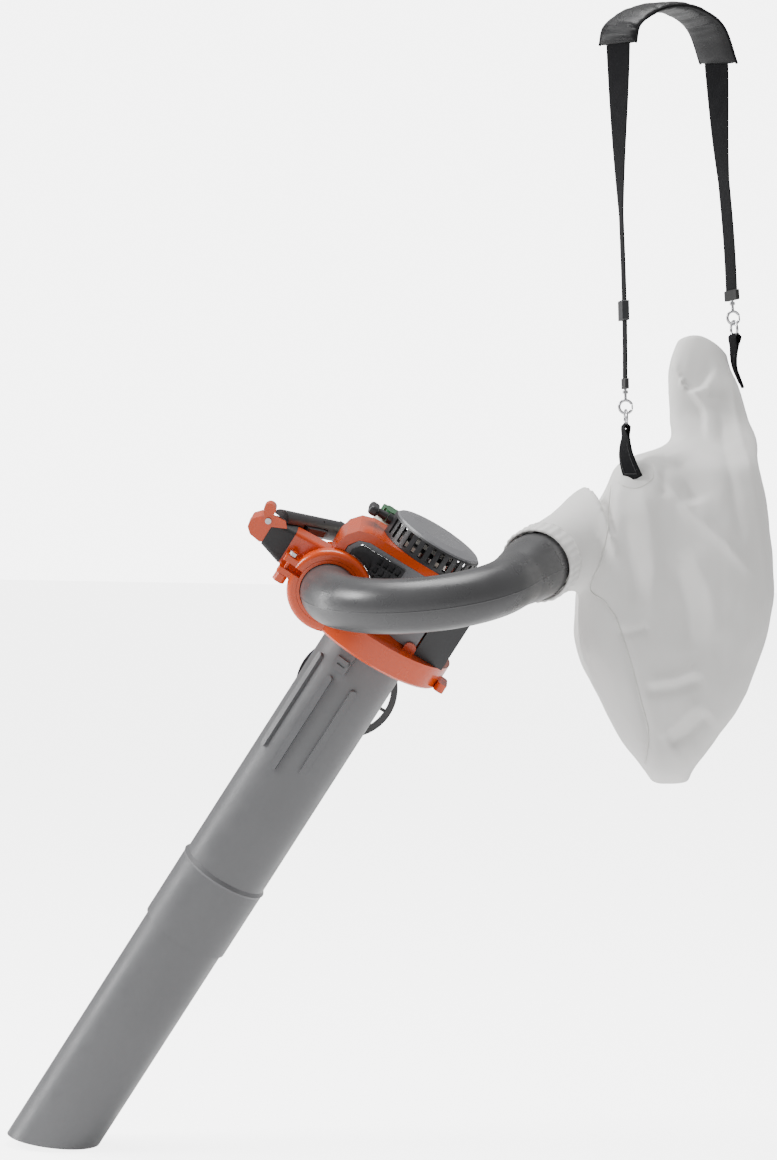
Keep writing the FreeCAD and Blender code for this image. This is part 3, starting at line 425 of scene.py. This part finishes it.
def elbow():
    """Blow-moulded elbow: slightly necked bend, smooth bell and a raised parting line."""
    profile = [(-22, 37.2), (0, 37.2), (30, 36.2), (90, 35.4), (200, 35.2), (ELBOW_ARC, 35.6),
               (ELBOW_ARC + 22, 36.6), (ELBOW_ARC + 50, 40), (ELBOW_ARC + 80, 43.4),
               (ELBOW_ARC + 128, 43.9)]
    where, radii = zip(*profile)
    normal = ELBOW_OUT.cross(ELBOW_INWARD).normalized()
    seams = (0.0, math.pi)
    wall, ridge_height = 2.2, 0.55
    angles = list(np.linspace(0, 2 * math.pi, 96, endpoint=False) + math.pi / 96)
    for seam in seams:
        angles += [(seam + d) % (2 * math.pi) for d in (-0.028, -0.014, 0.0, 0.014, 0.028)]
    angles = sorted(angles)
    outer, inner = [], []
    for distance in np.linspace(-22, ELBOW_ARC + 128, 190):
        centre, heading = elbow_station(distance)
        radius = float(np.interp(distance, where, radii))
        out = heading.cross(normal).normalized()
        rings = ([], [])
        for a in angles:
            near = min(abs(math.remainder(a - seam, 2 * math.pi)) for seam in seams)
            ridge = ridge_height if near < 0.02 else 0.0
            reach = normal * math.sin(a) + out * math.cos(a)
            for ring, size in zip(rings, (radius + ridge, radius - wall)):
                ring.append(head_point(*(centre + reach * size)))
        outer.append(rings[0])
        inner.append(rings[1])
    points, faces = skin(outer + inner[::-1], closed=True, capped=False)
    # the elbow takes elbow_plastic, whose tone, darker than the tube plastic, is painted shade
    item = tidy_normals(piece("elbow_moulding", points, faces, "elbow_plastic"))
    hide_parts("elbow_tube")


elbow()

# ---------------------------------------------------------------- collecting bag
BAG_LEVELS = [
    (502, 834, -100, 24, 40), (521, 831, -100, 34, 66), (554, 830, -98, 59, 82),
    (613, 834, -92, 95, 92), (679, 834, -88, 122, 97), (745, 840, -86, 130, 98),
    (798, 842, -86, 128, 96), (851, 847, -84, 116, 91), (891, 853, -82, 103, 84),
    (926, 860, -76, 90, 75), (952, 894, -40, 58, 54), (983, 891, -14, 53, 40),
    (1015, 887, -6, 49, 36), (1056, 882, -2, 42, 26), (1080, 884, 0, 34, 14),
]
FRONT_TAB, REAR_TAB = mm(779, 103, 964), mm(882, 290, 1084)
FRONT_END, REAR_END = mm(764, 110, 1474), mm(852, 299, 1458)


def bag_ring(level, count=96):
    """One level section of the bag, a rectangle with very round corners."""
    height, across, away, wide, deep = level
    ring = []
    for a in np.linspace(0, 2 * math.pi, count, endpoint=False):
        c, s = math.cos(a), math.sin(a)
        scale = 0.98 / (0.82 + 0.18 * (c * c - s * s) ** 2)
        reach = RIGHT * (across + wide * c * scale) + AWAY * (away + deep * s * scale)
        ring.append(mm(reach.x, reach.y, height))
    return ring


def closed_solid(name, rings):
    """A closed cloth form through equal rings."""
    points, faces = skin(rings)
    return tidy_normals(piece(name, points, faces, "bag_cloth"))


BAG_MIRROR = 1704  # twice the bag's middle: a place on the back is this less the one on the front
SPOUT_PEAK, SPOUT_FOOT, SPOUT_RISE, SPOUT_FALL = 0.872, 1.03, 0.016, 12
# Creases of the cloth: (half width, height, [(across, up), ...]) in millimetres
CREASES = [
    (9, 7.0, [(790, 940), (826, 897), (858, 861), (898, 826), (941, 774)]),
    (15, -9.0, [(838, 940), (852, 905), (862, 872)]),
    (8, -5.0, [(828, 948), (820, 909), (822, 880)]),
    (7, 4.5, [(795, 640), (835, 646), (867, 660)]),
    (9, -4.5, [(792, 626), (835, 632), (872, 646)]),
    (13, -7.0, [(827, 556), (852, 572), (882, 600)]),
    (8, 4.0, [(812, 566), (840, 590), (868, 616)]),
    (7, -3.5, [(758, 704), (780, 706), (802, 712)]),
    (6, 3.0, [(918, 1045), (926, 980), (936, 900), (950, 820), (955, 760)]),
    (9, -4.0, [(905, 1000), (906, 930), (914, 870), (925, 820)]),
    (14, 4.5, [(790, 905), (800, 850), (806, 790), (800, 720)]),
    (12, -4.5, [(768, 860), (775, 800), (790, 740)]),
    (16, 4.0, [(850, 820), (880, 760), (890, 690)]),
    (12, -4.0, [(832, 800), (850, 740), (856, 680)]),
    (4, -3.0, [(757, 725), (775, 671), (789, 619), (800, 574), (797, 528)]),
    (5, -5.0, [(757, 917), (750, 877), (746, 838), (737, 798), (724, 762), (742, 746), (757, 725)]),
    (10, 3.5, [(768, 915), (762, 877), (759, 838), (752, 798), (745, 770)]),
]
# Edges where the cloth on the right lies over the cloth on the left
LAPS = [(9.0, [(881, 950), (880, 984), (877, 996), (861, 1019), (881, 1027), (902, 1055)])]
SEAM = [(757, 725), (775, 671), (789, 619), (800, 574), (797, 530)]
PANEL_SEAM = [(757, 915), (750, 877), (746, 838), (737, 798), (724, 762), (742, 746), (757, 725)]
PATCH_SEAM = [(762, 901), (770, 896), (783, 894), (796, 899), (806, 908), (804, 924)]


def near_line(points, across, up):
    """Distance to a polyline, its share of the way along and the side it is on."""
    best = (1e9, 0.0, 1.0)
    last = len(points) - 1
    for k in range(last):
        (a0, z0), (a1, z1) = points[k], points[k + 1]
        run, rise = a1 - a0, z1 - z0
        t = ((across - a0) * run + (up - z0) * rise) / (run * run + rise * rise)
        t = min(1.0, max(0.0, t))
        gap_a, gap_z = across - a0 - run * t, up - z0 - rise * t
        far = math.hypot(gap_a, gap_z)
        if far < best[0]:
            best = (far, (k + t) / last, math.copysign(1.0, run * gap_z - rise * gap_a))
    return best


def ease(value):
    """A smooth step from 0 to 1."""
    value = min(1.0, max(0.0, value))
    return value * value * (3 - 2 * value)


def bag_folds(point, normal):
    """How far a point of the cloth moves out, in metres."""
    facing = -normal.dot(AWAY)
    across, up = point.dot(RIGHT) / MM, point.z / MM
    weight = ease((abs(facing) - 0.08) / 0.4)
    if facing < 0:
        across, weight = BAG_MIRROR - across, weight * 0.8
    total = 0.0
    if weight:
        for half, height, line in CREASES:
            far, share, _ = near_line(line, across, up)
            if far < 3 * half:
                taper = ease(min(share, 1 - share) / 0.22 + 0.15)
                total += height * taper * math.exp(-(far / half) ** 1.4)
        for height, line in LAPS:
            far, share, side = near_line(line, across, up)
            if side < 0 and far < 60:
                taper = ease(min(share, 1 - share) / 0.2)
                total += height * taper * (1 - ease((far - 6) / 44)) * ease(far / 4)
    soft = noise.noise(point * 11) * 3.4 + noise.noise(point * 27 + Vector((3, 1, 2))) * 1.5
    fine = noise.noise(Vector((point.x * 90, point.y * 90, point.z * 38))) * 0.45
    return MM * (total * weight + soft + fine)


def bag_neck(mouth, heading):
    """Funnel of cloth from the elbow's bell into the bag."""
    far = RIGHT * 0.738 - AWAY * 0.104 + mm(0, 0, 818)
    throat, funnel = mouth + heading * 0.034, Vector((0.85, 0.5, 0.2)).normalized()
    centres = [(mouth, heading, 47), (throat, heading, 47.6)]
    for share, radius in ((0.35, 54), (0.65, 66), (0.85, 75), (1.0, 81)):
        bend = throat + heading * 0.03 * share * (1 - share) * 4
        centres.append((bend.lerp(far, share), heading.lerp(funnel, share), radius))
    rings = []
    for centre, way, radius in centres:
        side, up = level_axes(way.normalized())
        rings.append([centre + (side * math.cos(a) + up * math.sin(a)) * radius * MM
                      for a in np.linspace(0, 2 * math.pi, 72, endpoint=False)])
    return closed_solid("bag_neck", rings)


def merge_cloth(body, other):
    """Turns two closed forms into one even mesh and softens where they meet."""
    bm = bmesh.new()
    bm.from_mesh(body.data)
    bm.from_mesh(other.data)
    bm.to_mesh(body.data)
    bm.free()
    bpy.data.objects.remove(other)
    remesh = body.modifiers.new("union", "REMESH")
    remesh.mode = "VOXEL"
    remesh.voxel_size = 0.0042
    relax = body.modifiers.new("relax", "SMOOTH")
    relax.iterations = 9
    relax.factor = 0.5
    depsgraph = bpy.context.evaluated_depsgraph_get()
    mesh = bpy.data.meshes.new_from_object(body.evaluated_get(depsgraph))
    body.modifiers.clear()
    body.data = mesh
    return mesh


def crease_and_open(mesh, mouth, heading):
    """Moves the cloth into its folds, raises the spout's peak and opens the mouth."""
    bm = bmesh.new()
    bm.from_mesh(mesh)
    bmesh.ops.recalc_face_normals(bm, faces=bm.faces)
    bm.normal_update()
    moves = []
    for v in bm.verts:
        clear = min(1.0, max(0.0, ((v.co - mouth).length - 0.075) / 0.06))
        moves.append(v.normal * bag_folds(v.co, v.normal) * clear)
    for v, move in zip(bm.verts, moves):
        v.co += move
        off_peak = v.co.dot(RIGHT) - SPOUT_PEAK
        rise = SPOUT_RISE - SPOUT_FALL * off_peak * off_peak
        v.co.z += ease((v.co.z - SPOUT_FOOT) / 0.05) * rise
    opening = [f for f in bm.faces if (f.calc_center_median() - mouth).dot(heading) < 0.002]
    bmesh.ops.delete(bm, geom=opening, context="FACES")
    bm.to_mesh(mesh)
    bm.free()


def bag():
    """Bag and neck as one creased cloth; gives its surface, mouth and the mouth's heading."""
    levels = curve_through(BAG_LEVELS, 7)
    body = closed_solid("bag_body", [bag_ring(level) for level in levels])
    mouth, heading = elbow_station(ELBOW_ARC + 96)
    heading = (HEAD @ heading).normalized()
    mouth = head_point(*mouth)
    mesh = merge_cloth(body, bag_neck(mouth, heading))
    crease_and_open(mesh, mouth, heading)
    mesh.shade_smooth()
    mesh.materials.clear()
    mesh.materials.append(MATERIALS["bag_cloth"])
    thick = body.modifiers.new("cloth_thickness", "SOLIDIFY")
    thick.thickness = 0.0012
    thick.offset = -1
    subdivided(body)
    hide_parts("bag")
    surface = BVHTree.FromPolygons([v.co for v in mesh.vertices],
                                   [tuple(p.vertices) for p in mesh.polygons])
    return surface, mouth, heading


BAG_SURFACE, BAG_MOUTH, BAG_HEADING = bag()


def on_bag(across, up, side=-1, lift=0.0):
    """The bag's point at a place seen from the front (side -1) or the back (side 1)."""
    start = RIGHT * across * MM + AWAY * 0.6 * side + mm(0, 0, up)
    hit = BAG_SURFACE.ray_cast(start, AWAY * -side)[0]
    return hit + AWAY * side * lift * MM if hit else None


def bag_seams():
    """Piping and stitch lines, on the front and on the back of the bag."""
    rows = [("piping", SEAM, 1.1, 0.2), ("panel_piping", PANEL_SEAM, 1.0, 0.2),
            ("patch_stitch", PATCH_SEAM, 0.45, 0.25)]
    for side, where in ((-1, "front"), (1, "back")):
        for name, line, radius, lift in rows:
            if side > 0:
                line = [(BAG_MIRROR - across, up) for across, up in line]
            path = [on_bag(across, up, side, lift) for across, up in curve_through(line, 14)]
            path = [p for p in path if p]
            if len(path) > 8:
                tube(f"bag_{name}_{where}", path, radius * MM, "bag_stitching", sides=8)


bag_seams()


def cuff():
    """Elastic cuff of the bag, gathered round the elbow's bell."""
    side, up = level_axes(BAG_HEADING)
    rings = []
    shape = [(0.0, 45.6), (-3, 46.4), (-4, 48.4), (0, 50.2), (5, 50.4), (12, 49.2), (20, 49.6),
             (27, 50.6), (32, 49.8), (30, 47.8), (20, 46.8), (8, 46.0)]
    for along, radius in shape:
        ring = []
        for a in np.linspace(0, 2 * math.pi, 288, endpoint=False):
            pleat = 0.5 * math.sin(31 * a + 1.7 * math.sin(3 * a)) + 0.4 * math.sin(11 * a + 1)
            reach = radius + (pleat if radius > 47 else 0)
            ring.append(BAG_MOUTH + BAG_HEADING * along * MM
                        + (side * math.cos(a) + up * math.sin(a)) * reach * MM)
        rings.append(ring)
    points, faces = skin(rings, closed=True, capped=False)
    tidy_normals(piece("bag_cuff", points, faces, "bag_cloth"))


cuff()


# ---------------------------------------------------------------- strap and its hardware
def ribbon(name, stations, width, thick, material, body="root"):
    """Flat webbing with rounded, slightly thicker selvages; stations are (centre, side)."""
    outline = []
    for a in np.linspace(0, 2 * math.pi, 28, endpoint=False):
        c, s = math.cos(a), math.sin(a)
        across = math.copysign(abs(c) ** 0.35, c)
        up = math.copysign(abs(s) ** 0.55, s) * (1 + 0.18 * (abs(across) > 0.86))
        outline.append((across * width / 2, up * thick / 2))
    rings = []
    for k, (centre, side) in enumerate(stations):
        before = stations[max(k - 1, 0)][0]
        after = stations[min(k + 1, len(stations) - 1)][0]
        line = (after - before).normalized()
        side = (side - line * side.dot(line)).normalized()
        up = line.cross(side)
        rings.append([centre + side * x + up * y for x, y in outline])
    points, faces = skin(rings)
    return tidy_normals(piece(name, points, faces, material, body))


TOP_FACE = Vector((0.36, 0.93, 0))


STRAP_START = 69


def strap(name, low, high, face, node):
    """Webbing that is flat through its adjuster, then turns towards the pad."""
    line = (high - low).normalized()
    length = (high - low).length
    sides = [Vector(f).cross(line).normalized() for f in (face, TOP_FACE)]
    stations = []
    for t in np.linspace(0, 1 + 0.018 / length, 80):
        side = sides[0].lerp(sides[1], min(1.0, max(0.0, (t - 0.5) * 2))).normalized()
        sway = line.cross(side) * MM * 1.2 * math.sin(t * 7)
        stations.append((low + line * (STRAP_START * MM + (length - STRAP_START * MM) * t) + sway, side))
    item = ribbon(name, stations, WEBBING_WIDTH, WEBBING_THICK, "black_webbing")
    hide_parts(node)


FRONT_FACE, REAR_FACE = (0.93, 0.37, 0), (0.82, 0.575, 0)
strap("front_webbing", FRONT_TAB, FRONT_END, FRONT_FACE, "front_strap")
strap("rear_webbing", REAR_TAB, REAR_END, REAR_FACE, "rear_strap")


def tab_axes(across, away, up, turn):
    """Centre of a tab's stop, the direction of its width and the one out of its face."""
    turn = math.radians(turn)
    side = RIGHT * math.sin(turn) - AWAY * math.cos(turn)
    outward = RIGHT * math.cos(turn) + AWAY * math.sin(turn)
    return placed(across, away, up), side, outward


def tab(name, path, width):
    """Doubled webbing round the D-ring that turns onto the bag; stops are (across, away, up, turn)."""
    rows = curve_through(path, 6)
    stations = []
    for ply in (-1, 1):
        part = []
        for row in rows:
            centre, side, outward = tab_axes(*row)
            loop = 0.9 + 3.0 * ease((row[2] - path[0][2] + 16) / 16)
            part.append((centre + outward * ply * loop * MM, side))
        stations += part[::-1] if ply < 0 else part
    top = stations[len(rows) - 1][0].lerp(stations[len(rows)][0], 0.5) + mm(0, 0, 4.2)
    stations.insert(len(rows), (top, stations[len(rows)][1]))
    item = ribbon(name, stations, width, TAB_THICK, "black_webbing")
    thread = []
    for edge, first, last in ((1, 0.35, 0.9), (-1, 0.9, 0.35)):
        for t in np.linspace(0, 1, 24):
            centre, side, outward = tab_axes(*rows[int((first + (last - first) * t) * (len(rows) - 1))])
            thread.append(centre + side * width * 0.36 * edge - outward * 0.0021)
    tube(name + "_stitch", thread, THREAD_RADIUS, "stitching", sides=6)
    return item


FRONT_TAB_STOPS = [(771.5, -147, 975, 4), (771, -147, 962, 12), (770.5, -149, 948, 24),
                   (772, -151, 934, 34), (776, -153.5, 920, 42), (782, -156, 905, 47)]
REAR_TAB_STOPS = [(928, -2, 1095, 17), (927, -2, 1080, 15), (926.5, -2, 1066, 9),
                  (928.5, -2, 1052, 3), (934, -2, 1038, 0), (939, -3, 1026, -2)]
front_tab = tab("front_bag_tab", FRONT_TAB_STOPS, 0.030)
tab("rear_bag_tab", REAR_TAB_STOPS, 0.028)
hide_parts("bag_tabs")

# ---------------------------------------------------------------- shoulder pad
PAD_PATH = [(764, 109, 1476), (768, 120, 1502), (788, 155, 1524), (812, 195, 1531),
            (832, 237, 1524), (846, 270, 1506), (855, 300, 1464)]


def shoulder_pad():
    """Quilted pad: crowned top and underside, sewn channels across it and a bound edge."""
    path = [Vector(p) * MM for p in curve_through(PAD_PATH, 16)]
    side = Vector((0.93, -0.36, 0)).normalized()
    half, thick, around = 0.029, 0.0055, 64
    rings, edges = [], ([], [])
    for k, centre in enumerate(path):
        line = (path[min(k + 1, len(path) - 1)] - path[max(k - 1, 0)]).normalized()
        up = side.cross(line)
        if up.z < 0:
            up = -up
        across = (side - line * side.dot(line)).normalized()
        share = k / (len(path) - 1)
        channel = 0.62 + 0.38 * abs(math.sin(share * math.pi * 9)) ** 0.5
        end = min(1.0, min(share, 1 - share) / 0.05) ** 0.5
        ring = []
        for a in np.linspace(0, 2 * math.pi, around, endpoint=False):
            c, s = math.cos(a), math.sin(a)
            x = math.copysign(abs(c) ** 0.7, c)
            crown = math.copysign(abs(s) ** 0.8, s) * (0.35 + 0.65 * end * channel)
            pucker = 1 + 0.05 * math.sin(share * 120 + 3 * x)
            ring.append(centre + across * x * half + up * crown * thick * pucker * 1.25)
        rings.append(ring)
        for n, sign in enumerate((-1, 1)):
            edges[n].append(centre + across * sign * half)
    points, faces = skin(rings)
    pad = tidy_normals(piece("quilted_shoulder_pad", points, faces, "pad_cloth"))
    subdivided(pad)
    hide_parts("shoulder_pad")
    for n, name in enumerate(("pad_binding_near", "pad_binding_far")):
        tube(name, edges[n], 0.0019, "black_webbing", sides=12)


shoulder_pad()


# ---------------------------------------------------------------- starter rope
def starter_rope():
    """Three-strand cord from the housing to the grip, and its wound turns."""
    start, end = head_point(66, 0, 159), head_point(79, 0, 159)
    line = end - start
    direction = line.normalized()
    side = direction.orthogonal().normalized()
    up = direction.cross(side)
    points, faces = [], []
    for strand in range(3):
        rings = []
        for t in np.linspace(0, 1, 60):
            a = 2 * math.pi * (strand / 3 + t * 2)
            middle = start + line * t + (side * math.cos(a) + up * math.sin(a)) * 0.0008
            rings.append([middle + (side * math.cos(b) + up * math.sin(b)) * 0.0009
                          for b in np.linspace(0, 2 * math.pi, 8, endpoint=False)])
        new_points, new_faces = skin(rings)
        faces += [tuple(i + len(points) for i in f) for f in new_faces]
        points += new_points
    rope = tidy_normals(piece("starter_cord", points, faces, "rope", None))
    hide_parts("starter_rope")
    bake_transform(rope)
    turns = []
    for t in np.linspace(0, 1, 150):
        a = 2 * math.pi * 2.9 * t
        turns.append(head_point(32.2 * math.cos(a), 32.2 * math.sin(a), 155.6 + 5.2 * t))
    tube("wound_cord", turns, 0.0016, "rope", "pulley", 8)


starter_rope()


def floor():
    """Plain pale floor under the suction mouth."""
    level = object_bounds()[0].z - 0.0005
    mesh = bpy.data.meshes.new("floor")
    mesh.from_pydata([(-9, -9, level), (9, -9, level), (9, 14, level), (-9, 14, level)], [],
                     [(0, 1, 2, 3)])
    item = bpy.data.objects.new("floor", mesh)
    bpy.context.scene.collection.objects.link(item)
    s = Shader("floor", 0.6)
    s.ramp(s.noise(1.5, 2), [(0.3, (0.92, 0.92, 0.92)), (0.7, (0.94, 0.94, 0.94))], "Base Color")
    s.surface.inputs["Emission Color"].default_value = (1, 1, 1, 1)
    seen_level(s.nodes, s.links, FLOOR_LIT, FLOOR_SEEN, s.surface.inputs["Emission Strength"])
    mesh.materials.append(s.material)
    item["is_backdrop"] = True


floor()
